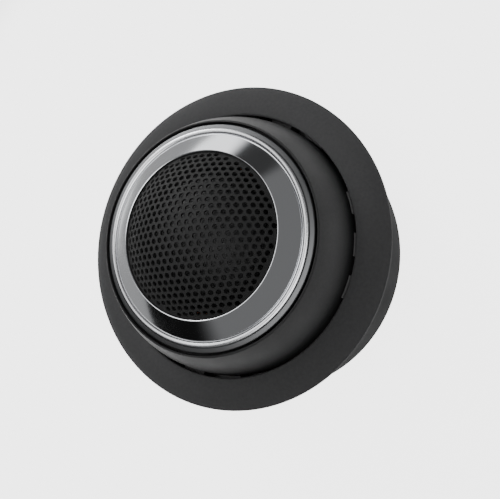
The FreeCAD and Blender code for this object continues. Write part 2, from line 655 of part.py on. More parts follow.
def mesh_hole_cutter():
    """One cylinder for each hole, square to the dome, on a hexagonal lattice laid over its surface."""
    centre_height = value("mesh_apex - mesh_curve")
    curve = value("mesh_curve")
    pitch = value("mesh_pitch")
    turn = math.radians(value("mesh_turn"))
    reach = int(value("mesh_field") * math.pi / 2 / pitch) + 2
    drill_length = value("mesh_drill")
    drills = []
    for row in range(-reach, reach + 1):
        for column in range(-reach, reach + 1):
            across = (column + row / 2) * pitch
            up = row * pitch * math.sqrt(3) / 2
            flat = Vector(
                across * math.cos(turn) - up * math.sin(turn) + value("mesh_shift_across"),
                across * math.sin(turn) + up * math.cos(turn) + value("mesh_shift_up"),
                0,
            )
            tilt = flat.Length / curve
            if tilt > math.asin(value("mesh_field") / curve):
                continue
            sideways = flat.normalize() * math.sin(tilt) if flat.Length else Vector(0, 0, 0)
            direction = sideways + Vector(0, 0, math.cos(tilt))
            start = Vector(0, 0, centre_height) + direction * (curve - drill_length / 2)
            drills.append(Part.makeCylinder(value("mesh_hole"), drill_length, start, direction))
    cutter = doc.addObject("Part::Feature", "mesh_holes")
    cutter.Shape = Part.makeCompound(drills)
    return cutter


def make_mesh_grille():
    sheet_body = doc.addObject("PartDesign::Body", "mesh_blank")
    centre = "mesh_apex - mesh_curve"
    inside = "mesh_curve - mesh_sheet"
    turned(sheet_body, "dome_sheet", [
        ("0", "mesh_apex - mesh_sheet", "-(mesh_curve - mesh_sheet)"),
        ("mesh_bend_inside", f"{centre} + " + sphere_radius_at(inside, "mesh_bend_inside")),
        ("mesh_edge", "mesh_edge_under"),
        ("mesh_edge", "mesh_edge_height"),
        ("mesh_bend", f"{centre} + " + sphere_radius_at("mesh_curve", "mesh_bend"), "mesh_curve"),
        ("0", "mesh_apex"),
    ])
    grille = doc.addObject("Part::Cut", "mesh_grille_cut")
    grille.Base = sheet_body
    grille.Tool = mesh_hole_cutter()
    finish_part(grille, "mesh_grille")


def make_grille_retainer():
    body = new_body("grille_retainer")
    turned(body, "retainer", [
        ("retainer_throat", "retainer_base"),
        ("retainer_outer", "retainer_base"),
        ("retainer_outer", "retainer_flange_height"),
        ("retainer_step", "retainer_step_height"),
        ("retainer_step", "retainer_lip_height"),
        ("retainer_inner", "retainer_inner_height"),
        ("retainer_inner", "retainer_edge_height"),
        ("retainer_throat", "retainer_throat_height"),
    ])


def make_diaphragm_plate():
    body = new_body("diaphragm_plate")
    sketch = new_sketch(body, "plate_outline", "XY_Plane", lift="seat_height")
    circle(sketch, "0", "0", "plate_outer")
    circle(sketch, "0", "0", "plate_inner")
    padded(body, "plate", sketch, "retainer_base - seat_height")
    slot_sketch = new_sketch(body, "lead_slot_outline", "XY_Plane", turn="90")
    rectangle(slot_sketch, "felt_radius", "plate_slot_outer", "plate_slot_width")
    slot = pocketed(body, "lead_slot", slot_sketch, "retainer_base * 2", towards_front=True)
    repeated(body, "lead_slots", [slot], "tab_count")


def make_surround():
    body = new_body("surround")
    top = "retainer_base + surround_sheet"
    turned(body, "half_roll", [
        ("surround_outer", "retainer_base"),
        ("surround_outer", top),
        ("roll_outer", top, "roll_curve"),
        ("roll_inner", top),
        ("surround_inner", top),
        ("surround_inner", "retainer_base"),
        ("roll_inner + surround_sheet", "retainer_base", "-roll_under_curve"),
        ("roll_outer - surround_sheet", "retainer_base"),
    ])


def make_dome():
    body = new_body("dome")
    inside = "dome_curve - dome_sheet"
    rim_inner = "dome_radius - dome_rim"
    turned(body, "cap", [
        ("0", "dome_height - dome_sheet", "-(dome_curve - dome_sheet)"),
        (rim_inner, "dome_height - dome_curve + " + sphere_radius_at(inside, rim_inner)),
        (rim_inner, "dome_base - dome_rim"),
        ("dome_radius", "dome_base - dome_rim"),
        ("dome_radius", "dome_height - dome_curve + " + sphere_radius_at("dome_curve", "dome_radius"),
         "dome_curve"),
        ("0", "dome_height"),
    ])


def make_tube(label, inner, outer, foot, top):
    """A plain tube about the axis, between two heights."""
    body = new_body(label)
    sketch = new_sketch(body, label + "_outline", "XY_Plane", lift=foot)
    circle(sketch, "0", "0", outer)
    circle(sketch, "0", "0", inner)
    padded(body, label + "_tube", sketch, f"({top}) - ({foot})")


def make_disc(label, radius, foot, top):
    """A plain disc about the axis, between two heights."""
    disc = doc.addObject("Part::Cylinder", label + "_disc")
    disc.setExpression(".Radius", linked(radius))
    disc.setExpression(".Height", linked(f"({top}) - ({foot})"))
    disc.Label = label
    disc.setExpression(".Placement.Base.z", linked(f"flange_height + ({foot})"))
    parts.append(disc)


def make_yoke_cup():
    body = new_body("yoke_cup")
    turned(body, "pot", [
        ("0", "-yoke_back"),
        ("yoke_radius - yoke_chamfer", "-yoke_back"),
        ("yoke_radius", "yoke_chamfer - yoke_back"),
        ("yoke_radius", "seat_height"),
        ("yoke_bore", "seat_height"),
        ("yoke_bore", "yoke_floor"),
        ("0", "yoke_floor"),
    ])


def make_terminal_tabs():
    body = new_body("terminal_tabs")
    sketch = new_sketch(body, "tab_outline", "XY_Plane", lift="tab_foot", turn="90")
    rectangle(sketch, "tab_inner", "tab_inner + tab_thickness", "tab_width")
    tab = padded(body, "tab", sketch, "tab_top - tab_foot")
    repeated(body, "tabs", [tab], "tab_count")
    eyes = new_sketch(body, "solder_eye_outline", "XZ_Plane")
    circle(eyes, "0", "tab_eye_height", "tab_eye")
    pocketed(body, "solder_eyes", eyes)


def make_tinsel_leads():
    """Two short flexible leads, one on each side, from the terminal tabs towards the coil."""
    leads = []
    for side, sign in (("upper", 1), ("lower", -1)):
        lead = doc.addObject("Part::Cylinder", "lead_" + side)
        lead.setExpression(".Radius", linked("lead_radius"))
        lead.setExpression(".Height", linked("tab_inner - lead_inner"))
        outwards = FreeCAD.Rotation(Vector(0, 0, 1), Vector(0, sign, 0))
        lead.Placement = FreeCAD.Placement(Vector(0, 0, 0), outwards)
        lead.setExpression(".Placement.Base.y", linked(f"{sign} * lead_inner"))
        lead.setExpression(".Placement.Base.z", linked("lead_height"))
        leads.append(lead)
    pair = doc.addObject("Part::Compound", "lead_pair")
    pair.Links = leads
    finish_part(pair, "tinsel_leads")


def check_document():
    """Stop if any object failed to build or any sub-part's shape is empty or broken."""
    for item in doc.Objects:
        if "Invalid" in item.State or "Error" in item.State:
            raise RuntimeError(f"{item.Name}: {item.State}")
    for part in parts:
        if part.Shape.isNull() or not part.Shape.isValid() or not part.Shape.Solids:
            raise RuntimeError(f"{part.Label}: no valid solid")


def export_parts():
    os.makedirs("parts", exist_ok=True)
    for part in parts:
        part.Shape.exportStep(f"parts/{part.Label}.step")
        box = part.Shape.BoundBox
        print(f"{part.Label:17s} solids {len(part.Shape.Solids):2d}  volume {part.Shape.Volume:9.2f}"
              f"  z {box.ZMin:7.2f} to {box.ZMax:6.2f}  across {box.XLength:6.2f}")


fill_sheet()
make_mount_cup()
make_bezel_ring()
make_adhesive_pad()
make_cable_grommet()
make_friction_washer()
make_swivel_ring()
make_front_shell()
make_rear_shell()
make_pivot_pins()
make_shell_screws()
make_trim_ring()
make_mesh_grille()
make_grille_retainer()
make_diaphragm_plate()
make_surround()
make_yoke_cup()
make_disc("magnet", "magnet_radius", "yoke_floor", "magnet_top")
make_disc("pole_plate", "pole_radius", "magnet_top", "pole_top")
make_disc("damping_pad", "felt_radius", "pole_top", "pole_top + felt_thickness")
make_tube("rear_damping_pad", "foam_inner", "foam_outer",
          "rear_floor - rear_depth + foam_gap", "-yoke_back - foam_gap")
make_terminal_tabs()
make_tinsel_leads()
make_dome()
make_tube("coil_former", "former_inner", "former_outer", "former_foot", "dome_base - dome_rim")
make_tube("voice_coil", "former_outer", "coil_outer", "coil_foot", "coil_top")
doc.recompute()
check_document()
export_parts()
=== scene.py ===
"""Studio scene of a surface-mount car tweeter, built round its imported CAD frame. Metres."""
import json
import math

import bmesh
import bpy
from mathutils import Matrix, Vector, noise as waves


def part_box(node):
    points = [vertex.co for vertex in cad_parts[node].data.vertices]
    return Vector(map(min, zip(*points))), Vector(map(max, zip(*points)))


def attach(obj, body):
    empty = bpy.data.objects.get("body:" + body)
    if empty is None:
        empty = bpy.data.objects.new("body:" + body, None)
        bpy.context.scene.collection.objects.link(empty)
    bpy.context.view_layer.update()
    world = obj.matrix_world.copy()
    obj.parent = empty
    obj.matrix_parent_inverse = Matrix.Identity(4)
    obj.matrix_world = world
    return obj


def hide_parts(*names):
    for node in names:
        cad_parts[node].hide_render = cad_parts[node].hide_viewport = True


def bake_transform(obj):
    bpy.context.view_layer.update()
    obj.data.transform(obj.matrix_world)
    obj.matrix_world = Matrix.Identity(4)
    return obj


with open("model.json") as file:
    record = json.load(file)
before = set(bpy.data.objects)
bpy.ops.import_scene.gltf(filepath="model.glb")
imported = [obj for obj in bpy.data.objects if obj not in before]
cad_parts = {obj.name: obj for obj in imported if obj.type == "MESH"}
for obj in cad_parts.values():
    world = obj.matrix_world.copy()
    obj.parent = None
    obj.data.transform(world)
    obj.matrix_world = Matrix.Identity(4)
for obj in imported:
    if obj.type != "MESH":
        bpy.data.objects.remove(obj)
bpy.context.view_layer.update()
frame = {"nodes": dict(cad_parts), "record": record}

MM = 0.001
SHARP_EDGE = math.radians(38)   # two faces that meet at more than this have a crisp edge
WAVE_PERIOD = 0.314             # distance between the bands of a wave texture of scale 1


def low(node):
    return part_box(node)[0]


def high(node):
    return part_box(node)[1]


def smooth(thing):
    thing.data.polygons.foreach_set("use_smooth", [True] * len(thing.data.polygons))


def scaled(colour, factor):
    return tuple(channel * factor for channel in colour)


def direction(azimuth, elevation):
    """Unit vector towards an azimuth, counted from +X to +Y, and an elevation, both in degrees."""
    turn = math.radians(azimuth)
    lift = math.radians(elevation)
    return Vector((math.cos(turn) * math.cos(lift), math.sin(turn) * math.cos(lift), math.sin(lift)))


# ---------------------------------------------------------------- shader building blocks

def new_material(name, colour, roughness, metallic=0.0, specular=0.5):
    """A material with a Principled shader whose uniform values sit on its own sockets."""
    material = bpy.data.materials.new(name)
    material.use_nodes = True
    shader = material.node_tree.nodes["Principled BSDF"]
    shader.inputs["Base Color"].default_value = (*colour, 1.0)
    shader.inputs["Roughness"].default_value = roughness
    shader.inputs["Metallic"].default_value = metallic
    shader.inputs["Specular IOR Level"].default_value = specular
    return material, shader


def add(material, kind, **values):
    node = material.node_tree.nodes.new(kind)
    for name, value in values.items():
        setattr(node, name, value)
    return node


def join(material, start, end):
    material.node_tree.links.new(start, end)


def object_place(material):
    return add(material, "ShaderNodeTexCoord").outputs["Object"]


def noise(material, place, size, detail=4.0, roughness=0.55):
    """Noise over the object's own coordinates, whose largest lumps are about that size."""
    node = add(material, "ShaderNodeTexNoise")
    node.inputs["Scale"].default_value = 1.0 / size
    node.inputs["Detail"].default_value = detail
    node.inputs["Roughness"].default_value = roughness
    join(material, place, node.inputs["Vector"])
    return node.outputs["Fac"]


def spread(material, source, low_value, high_value, start=0.35, end=0.65):
    """Map a texture's middle range to a range of values."""
    node = add(material, "ShaderNodeMapRange")
    node.inputs["From Min"].default_value = start
    node.inputs["From Max"].default_value = end
    node.inputs["To Min"].default_value = low_value
    node.inputs["To Max"].default_value = high_value
    join(material, source, node.inputs["Value"])
    return node.outputs["Result"]


def mix_colours(material, factor, first, second):
    """Mix from the first colour to the second, which may be the output of another node."""
    node = add(material, "ShaderNodeMix", data_type="RGBA")
    node.inputs["A"].default_value = (*first, 1.0)
    if isinstance(second, tuple):
        node.inputs["B"].default_value = (*second, 1.0)
    else:
        join(material, second, node.inputs["B"])
    join(material, factor, node.inputs["Factor"])
    return node.outputs["Result"]


def bump(material, shader, height, depth, strength=1.0, below=None):
    """Raise the surface by a texture, depth metres between its lowest and highest value."""
    node = add(material, "ShaderNodeBump")
    node.inputs["Distance"].default_value = depth
    node.inputs["Strength"].default_value = strength
    join(material, height, node.inputs["Height"])
    if below is not None:
        join(material, below, node.inputs["Normal"])
    join(material, node.outputs["Normal"], shader.inputs["Normal"])
    return node.outputs["Normal"]


# ---------------------------------------------------------------- materials

# Bounds of the painted shade on moulded plastic: flanks are darkened, and fronts keep their colour.
FLANK_RISE = 0.02        # a normal that rises less than this belongs to a flank,
FRONT_RISE = 0.3         # and one that rises more than this to the front

FLOOR_GREY = (0.36, 0.36, 0.36)
FLOOR_MOTTLE = 0.028     # how far its grey strays, as a share of itself
FLOOR_LUMPS = 125 * MM   # size of that mottling
GLOW_INNER = 85 * MM     # the floor glows evenly as far out as this,
GLOW_OUTER = 118 * MM    # and has nearly stopped here
GLOW_NEAR = 3.6          # strength of the glow round the tweeter
GLOW_FAR = 0.05          # and further out


def flank_shade_mask(material):
    """0 on faces that look sideways or back, rising to 1 on faces that look to the front (+Z): the mask for
    the painted shade on flanks.
    """
    parts = add(material, "ShaderNodeSeparateXYZ")
    join(material, add(material, "ShaderNodeTexCoord").outputs["Normal"], parts.inputs["Vector"])
    return spread(material, parts.outputs["Z"], 0.0, 1.0, FLANK_RISE, FRONT_RISE)


def moulded_plastic(name, colour, roughness, grain=0.16 * MM, depth=0.012 * MM, specular=0.5, flank_shade_share=1.0):
    """Moulded plastic with a fine spark-eroded grain and faint handling marks. Its front is speckled, and
    its flanks are plain
    and carry painted shade: their colour is darkened to the given share of it."""
    material, shader = new_material(name, colour, roughness, specular=specular)
    place = object_place(material)
    cells = add(material, "ShaderNodeTexVoronoi", feature="SMOOTH_F1")
    cells.inputs["Scale"].default_value = 1.0 / grain
    join(material, place, cells.inputs["Vector"])
    fine = bump(material, shader, cells.outputs["Distance"], depth, 0.5)
    wave = noise(material, place, 9 * MM, 2.0)
    bump(material, shader, wave, 0.02 * MM, 0.25, below=fine)
    patches = noise(material, place, 6 * MM, 5.0)
    gloss = spread(material, patches, roughness - 0.04, roughness + 0.05)
    join(material, gloss, shader.inputs["Roughness"])
    speckle = noise(material, place, 0.5 * MM, 3.0)
    front = mix_colours(material, speckle, scaled(colour, 0.86), scaled(colour, 1.18))
    # Painted shade: faces that look sideways or back get a darker copy of the colour.
    finish = mix_colours(material, flank_shade_mask(material), scaled(colour, flank_shade_share), front)
    join(material, finish, shader.inputs["Base Color"])
    return material


def turned_metal(name, colour, roughness, groove=1.382 * MM, depth=0.0008 * MM):
    """Polished metal with the faint circular marks of a lathe."""
    material, shader = new_material(name, colour, roughness, metallic=1.0)
    place = object_place(material)
    rings = add(material, "ShaderNodeTexWave", wave_type="RINGS", rings_direction="Z")
    rings.inputs["Scale"].default_value = WAVE_PERIOD / groove
    rings.inputs["Distortion"].default_value = 0.0
    join(material, place, rings.inputs["Vector"])
    bump(material, shader, rings.outputs["Fac"], depth, 0.12)
    smear = noise(material, place, 5 * MM, 3.0)
    gloss = spread(material, smear, roughness - 0.015, roughness + 0.02)
    join(material, gloss, shader.inputs["Roughness"])
    return material


def powder_coat(name, colour, roughness, specular=0.5):
    """Thin powder coat on sheet metal: a fine orange peel."""
    material, shader = new_material(name, colour, roughness, specular=specular)
    place = object_place(material)
    peel = noise(material, place, 0.12 * MM, 3.0)
    bump(material, shader, peel, 0.012 * MM, 0.5)
    patches = noise(material, place, 2 * MM, 4.0)
    gloss = spread(material, patches, roughness - 0.05, roughness + 0.06)
    join(material, gloss, shader.inputs["Roughness"])
    return material


def soft_rubber(name, colour, roughness):
    """Soft rubber with a fine grain and a pale bloom."""
    material, shader = new_material(name, colour, roughness, specular=0.35)
    place = object_place(material)
    grain = noise(material, place, 0.2 * MM, 6.0)
    bump(material, shader, grain, 0.02 * MM, 0.5)
    bloom = spread(material, noise(material, place, 3 * MM, 5.0), 0.0, 1.0)
    join(material, mix_colours(material, bloom, colour, scaled(colour, 1.5)), shader.inputs["Base Color"])
    return material


def cell_foam(name, colour, cell, depth):
    """Foam: rounded pits of one cell size, with painted shade darkening their insides."""
    material, shader = new_material(name, colour, 0.9, specular=0.2)
    place = object_place(material)
    cells = add(material, "ShaderNodeTexVoronoi")
    cells.inputs["Scale"].default_value = 1.0 / cell
    join(material, place, cells.inputs["Vector"])
    rise = spread(material, cells.outputs["Distance"], 0.0, 1.0, 0.1, 0.5)
    # Painted shade: the inside of each pit is darker.
    join(material, mix_colours(material, rise, scaled(colour, 0.35), colour), shader.inputs["Base Color"])
    bump(material, shader, cells.outputs["Distance"], depth, 0.8)
    return material


def wool_felt(name, colour):
    """Felt: matted fibres with a soft sheen."""
    material, shader = new_material(name, colour, 0.95, specular=0.15)
    shader.inputs["Sheen Weight"].default_value = 0.4
    shader.inputs["Sheen Roughness"].default_value = 0.5
    place = object_place(material)
    fibres = noise(material, place, 0.15 * MM, 8.0, 0.75)
    join(material, mix_colours(material, fibres, colour, scaled(colour, 1.8)), shader.inputs["Base Color"])
    bump(material, shader, fibres, 0.08 * MM, 0.8)
    return material


def doped_cloth(name, colour, roughness, thread=0.12 * MM):
    """Fine woven cloth under a clear doping that leaves it half glossy."""
    material, shader = new_material(name, colour, roughness, specular=0.6)
    shader.inputs["Coat Weight"].default_value = 0.15
    shader.inputs["Coat Roughness"].default_value = 0.35
    place = object_place(material)
    heights = []
    for axis in ("X", "Y"):
        threads = add(material, "ShaderNodeTexWave", wave_type="BANDS", bands_direction=axis)
        threads.inputs["Scale"].default_value = WAVE_PERIOD / thread
        join(material, place, threads.inputs["Vector"])
        heights.append(threads.outputs["Fac"])
    weave = add(material, "ShaderNodeMath", operation="MULTIPLY")
    join(material, heights[0], weave.inputs[0])
    join(material, heights[1], weave.inputs[1])
    bump(material, shader, weave.outputs["Value"], 0.02 * MM, 0.5)
    return material


def plated_steel(name, colour, roughness):
    """Plated metal with a fine grain and cloudy patches."""
    material, shader = new_material(name, colour, roughness, metallic=1.0)
    place = object_place(material)
    grain = noise(material, place, 0.3 * MM, 5.0)
    bump(material, shader, grain, 0.004 * MM, 0.4)
    patches = noise(material, place, 2.5 * MM, 4.0)
    join(material, mix_colours(material, patches, scaled(colour, 0.8), colour), shader.inputs["Base Color"])
    gloss = spread(material, patches, roughness - 0.06, roughness + 0.08)
    join(material, gloss, shader.inputs["Roughness"])
    return material


def wound_wire(name, colour, wire=0.12 * MM):
    """Wire in close turns, one above another along Z, with painted shade in the grooves between turns."""
    material, shader = new_material(name, colour, 0.3, metallic=0.8)
    place = object_place(material)
    turns = add(material, "ShaderNodeTexWave", wave_type="BANDS", bands_direction="Z")
    turns.inputs["Scale"].default_value = WAVE_PERIOD / wire
    join(material, place, turns.inputs["Vector"])
    bump(material, shader, turns.outputs["Fac"], 0.03 * MM, 0.8)
    # Painted shade: the grooves between turns are darker.
    finish = mix_colours(material, turns.outputs["Fac"], scaled(colour, 0.5), colour)
    join(material, finish, shader.inputs["Base Color"])
    return material


def pale_floor():
    """Pale floor, lit from below round the tweeter as a light table is, and dimmer further out."""
    material, shader = new_material("pale_floor", FLOOR_GREY, 0.9, specular=0.0)
    place = object_place(material)
    shader.inputs["Emission Color"].default_value = (1.0, 1.0, 1.0, 1.0)
    away = add(material, "ShaderNodeVectorMath", operation="LENGTH")
    join(material, place, away.inputs[0])
    glow = spread(material, away.outputs["Value"], GLOW_NEAR, GLOW_FAR, GLOW_INNER, GLOW_OUTER)
    glow.node.interpolation_type = "SMOOTHSTEP"
    join(material, glow, shader.inputs["Emission Strength"])
    tint = noise(material, place, FLOOR_LUMPS, 3.0)
    darker = scaled(FLOOR_GREY, 1 - FLOOR_MOTTLE)
    lighter = scaled(FLOOR_GREY, 1 + FLOOR_MOTTLE)
    join(material, mix_colours(material, tint, darker, lighter), shader.inputs["Base Color"])
    return material


MATERIALS = {
    # The bezel's flanks carry painted shade, at 0.35 of its colour.
    "bezel_plastic": moulded_plastic("bezel_plastic", (0.05, 0.05, 0.051), 0.65, specular=0.04, flank_shade_share=0.35),
    "cup_plastic": moulded_plastic("cup_plastic", (0.012, 0.012, 0.0123), 0.75, specular=0.03),
    "ball_plastic": moulded_plastic("ball_plastic", (0.032, 0.032, 0.0326), 0.5, specular=0.07),
    "ring_plastic": moulded_plastic("ring_plastic", (0.06, 0.06, 0.061), 0.5, specular=0.25),
    "inner_plastic": moulded_plastic("inner_plastic", (0.018, 0.018, 0.019), 0.5),
    "washer_film": moulded_plastic("washer_film", (0.68, 0.66, 0.6), 0.35, depth=0.003 * MM),
    "foam_tape": cell_foam("foam_tape", (0.022, 0.022, 0.024), 0.3 * MM, 0.06 * MM),
    "foam": cell_foam("foam", (0.05, 0.05, 0.053), 0.6 * MM, 0.2 * MM),
    "felt": wool_felt("felt", (0.055, 0.055, 0.058)),
    "gland_rubber": soft_rubber("gland_rubber", (0.012, 0.012, 0.012), 0.6),
    "polished_trim": turned_metal("polished_trim", (0.62, 0.63, 0.65), 0.11),
    "bead_trim": turned_metal("bead_trim", (0.5, 0.505, 0.52), 0.22),
    "satin_trim": turned_metal("satin_trim", (0.11, 0.112, 0.115), 0.38),
    "grille_paint": powder_coat("grille_paint", (0.026, 0.026, 0.0262), 0.65, specular=0.1),
    "pin_steel": plated_steel("pin_steel", (0.55, 0.55, 0.56), 0.25),
    "screw_steel": plated_steel("screw_steel", (0.07, 0.07, 0.075), 0.35),
    "zinc_steel": plated_steel("zinc_steel", (0.5, 0.51, 0.52), 0.35),
    "nickel": plated_steel("nickel", (0.6, 0.58, 0.54), 0.2),
    "tab_brass": plated_steel("tab_brass", (0.55, 0.42, 0.2), 0.3),
    "lead_braid": wound_wire("lead_braid", (0.55, 0.25, 0.1)),
    "coil_wire": wound_wire("coil_wire", (0.36, 0.1, 0.03)),
    "former_film": turned_metal("former_film", (0.6, 0.6, 0.62), 0.3),
    "coated_cloth": doped_cloth("coated_cloth", (0.012, 0.012, 0.013), 0.45),
    "dome_silk": doped_cloth("dome_silk", (0.008, 0.008, 0.0085), 0.5),
}


def dress_cad_nodes():
    """Give every CAD node its slot's material and shade its curved faces smooth."""
    slots = {part["node"]: part["material_slot"] for part in frame["record"]["subparts"]}
    for node, thing in frame["nodes"].items():
        thing.data.materials.clear()
        thing.data.materials.append(MATERIALS[slots[node]])
        smooth(thing)
        thing.data.set_sharp_from_angle(angle=SHARP_EDGE)


# ---------------------------------------------------------------- turned and soft pieces

CUP_TO_FLANGE = 0.6 * MM    # the flange plane lies this far above the cup's front face
CORNER_ROUND = 0.07 * MM    # rounding of the trim ring's turned corner at the cone's foot
EDGE_ROUND = 0.28 * MM      # rounding of its outer edge
NOSE_ROUND = 0.25 * MM      # rounding of its inner lip
BEAD_CURVE = 0.75 * MM      # radius of its bead
FRONT_SLOPE = 0.2           # its faces whose normal rises more than this face the front

DOME_RIM = 0.3 * MM         # height of the dome's glued rim
DOME_SHEET = 0.2 * MM       # thickness of its cloth
ROLL_OUTER = 14.35 * MM     # outer foot of the surround's half roll
ROLL_INNER = 12.85 * MM     # inner foot of the half roll
ROLL_RISE = 0.75            # height of the half roll, as a share of its half width
ROLL_STEPS = 14             # points along it
CLOTH_EDGE = 12.62 * MM     # inner edge of the surround, glued to the dome
SURROUND_SHEET = 0.16 * MM  # thickness of its cloth
SURROUND_SECTORS = 16       # number of sectors the surround is turned in
PIT_SHARE = 0.9             # share of a pad's skin depth that its pits use
LEAD_INNER = 13.1 * MM      # end of a tinsel lead at the coil
LEAD_SAG = 0.12 * MM        # how far a lead hangs in its middle
LEAD_DROPS = (0, 0, 1, 1, 0, 0)   # share of the sag at each of a lead's points


def mesh_object(name, vertices, faces):
    mesh = bpy.data.meshes.new(name)
    mesh.from_pydata(vertices, [], faces)
    mesh.update()
    thing = bpy.data.objects.new(name, mesh)
    bpy.context.scene.collection.objects.link(thing)
    return thing


def turned_piece(name, section, start=0.0, sweep=math.tau, steps=160):
    """Turn a closed section of (radius, height) points about the axis, through a whole turn or a sector."""
    whole = sweep >= math.tau
    turns = steps if whole else steps + 1
    vertices = []
    for step in range(turns):
        angle = start + sweep * step / steps
        vertices += [(radius * math.cos(angle), radius * math.sin(angle), height)
                     for radius, height in section]
    count = len(section)
    faces = []
    for step in range(steps):
        here = step * count
        there = (step + 1) % turns * count
        for index in range(count):
            after = (index + 1) % count
            faces.append((here + index, there + index, there + after, here + after))
    thing = mesh_object(name, vertices, faces)
    shape = bmesh.new()
    shape.from_mesh(thing.data)
    bmesh.ops.remove_doubles(shape, verts=shape.verts, dist=0.001 * MM)
    bmesh.ops.recalc_face_normals(shape, faces=shape.faces)
    shape.to_mesh(thing.data)
    shape.free()
    smooth(thing)
    return thing


def finish_piece(thing, slot, node):
    """Give a piece its material and hide the CAD node it stands in for."""
    thing.data.materials.clear()
    thing.data.materials.append(MATERIALS[slot])
    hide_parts(node)
    return thing


def cap_arc(rise, radius, top, points):
    """Points from the apex to the edge of a spherical cap."""
    curve = (radius ** 2 + rise ** 2) / (2 * rise)
    widest = math.asin(radius / curve)
    return [(curve * math.sin(widest * i / points), top - curve + curve * math.cos(widest * i / points))
            for i in range(points + 1)]


def flange_height():
    return high("mount_cup").z + CUP_TO_FLANGE


def arc_points(start, end, radius, steps):
    """Points of the arc of that radius that bulges to the left on the way from start to end."""
    chord = Vector(end) - Vector(start)
    side = Vector((-chord.y, chord.x)).normalized()
    centre = (Vector(start) + Vector(end)) / 2 - side * math.sqrt(radius ** 2 - (chord.length / 2) ** 2)
    first = Vector(start) - centre
    half_turn = math.asin(chord.length / 2 / radius)
    points = []
    for step in range(steps + 1):
        angle = -2 * half_turn * step / steps
        points.append((centre.x + first.x * math.cos(angle) - first.y * math.sin(angle),
                       centre.y + first.x * math.sin(angle) + first.y * math.cos(angle)))
    return points


def rounded(before, corner, after, radius, steps=5):
    """Points that round off a corner between its two neighbours."""
    corner = Vector(corner)
    back = (Vector(before) - corner).normalized()
    onward = (Vector(after) - corner).normalized()
    reach = radius / math.tan(back.angle(onward) / 2)
    first = corner + back * reach
    last = corner + onward * reach
    points = []
    for step in range(steps + 1):
        share = step / steps
        points.append(first * (1 - share) ** 2 + corner * 2 * share * (1 - share) + last * share ** 2)
    return [tuple(point) for point in points]


def build_trim():
    """The trim ring as a lathe leaves it: lip, cone, groove, rounded bead and sloping step.
    Points are radii and heights over the flange."""
    outer = high("trim_ring").x
    foot = low("trim_ring").z
    flange = flange_height()

    def spot(radius, height):
        return (radius * MM, flange + height * MM)

    cone_foot = spot(17.15, 11.12)
    groove = spot(17.22, 10.72)
    bead_inner = spot(17.35, 10.72)
    bead_outer = spot(18.27, 10.86)
    step_inner = spot(18.36, 10.52)
    step_outer = spot(outer / MM, 10.34)
    lip_top = spot(14.096, 13.323)
    lip_under = spot(13.95, 12.87)
    skirt_foot = spot(18.2, 8.25)
    skirt_top = spot(18.2, 10.0)
    back_outer = spot(17.2, 10.15)
    back_middle = spot(16.6, 10.95)
    back_inner = spot(14.25, 12.65)
    section = [lip_under]
    section += arc_points(lip_under, lip_top, NOSE_ROUND, 10)[1:]
    section += rounded(lip_top, cone_foot, groove, CORNER_ROUND)
    section.append(groove)
    section += arc_points(bead_inner, bead_outer, BEAD_CURVE, 22)
    section.append(step_inner)
    section += rounded(step_inner, step_outer, (outer, foot), EDGE_ROUND)
    section += [(outer, foot), skirt_foot, skirt_top, back_outer, back_middle, back_inner]
    trim = turned_piece("turned_trim", section, steps=256)
    trim.data.set_sharp_from_angle(angle=SHARP_EDGE)
    finish_piece(trim, "polished_trim", "trim_ring")
    trim.data.materials.append(MATERIALS["satin_trim"])
    trim.data.materials.append(MATERIALS["bead_trim"])
    for face in trim.data.polygons:
        away = math.hypot(face.center.x, face.center.y)
        if face.normal.z > FRONT_SLOPE and away > step_inner[0]:
            face.material_index = 1
        elif face.normal.z > FRONT_SLOPE and away > bead_inner[0]:
            face.material_index = 2
    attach(trim, "ball")


def build_dome():
    """The soft dome: a doped cloth cap with a short glued rim."""
    edge = high("dome").x
    top = high("dome").z
    foot = low("dome").z
    rise = top - foot - DOME_RIM
    outside = cap_arc(rise, edge, top, 24)
    inside = cap_arc(rise, edge - DOME_SHEET, top - DOME_SHEET, 24)
    section = outside + [(edge, foot), (edge - DOME_SHEET, foot)] + inside[::-1]
    dome = turned_piece("dome_cloth", section)
    finish_piece(dome, "dome_silk", "dome")
    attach(dome, "diaphragm")


def half_roll(middle, half, foot):
    """Points over a half roll, from its outer foot to its inner one."""
    points = []
    for index in range(ROLL_STEPS + 1):
        angle = math.pi * index / ROLL_STEPS
        points.append((middle + half * math.cos(angle), foot + half * ROLL_RISE * math.sin(angle)))
    return points


def roll_section(foot):
    """The surround's cloth in section: a flat glued edge, a half roll and a narrow inner edge."""
    outer = high("surround").x
    top = foot + SURROUND_SHEET
    middle = (ROLL_OUTER + ROLL_INNER) / 2
    half = (ROLL_OUTER - ROLL_INNER) / 2
    upper = [(outer, top)] + half_roll(middle, half, top) + [(CLOTH_EDGE, top)]
    lower = [(CLOTH_EDGE, foot)] + half_roll(middle, half - SURROUND_SHEET, foot)[::-1] + [(outer, foot)]
    return upper + lower


def build_surround():
    """The surround, turned in sectors."""
    section = roll_section(high("diaphragm_plate").z)
    share = math.tau / SURROUND_SECTORS
    for number in range(SURROUND_SECTORS):
        name = f"surround_{number + 1:02d}"
        piece = turned_piece(name, section, start=number * share, sweep=share, steps=12)
        finish_piece(piece, "coated_cloth", "surround")
        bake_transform(piece)


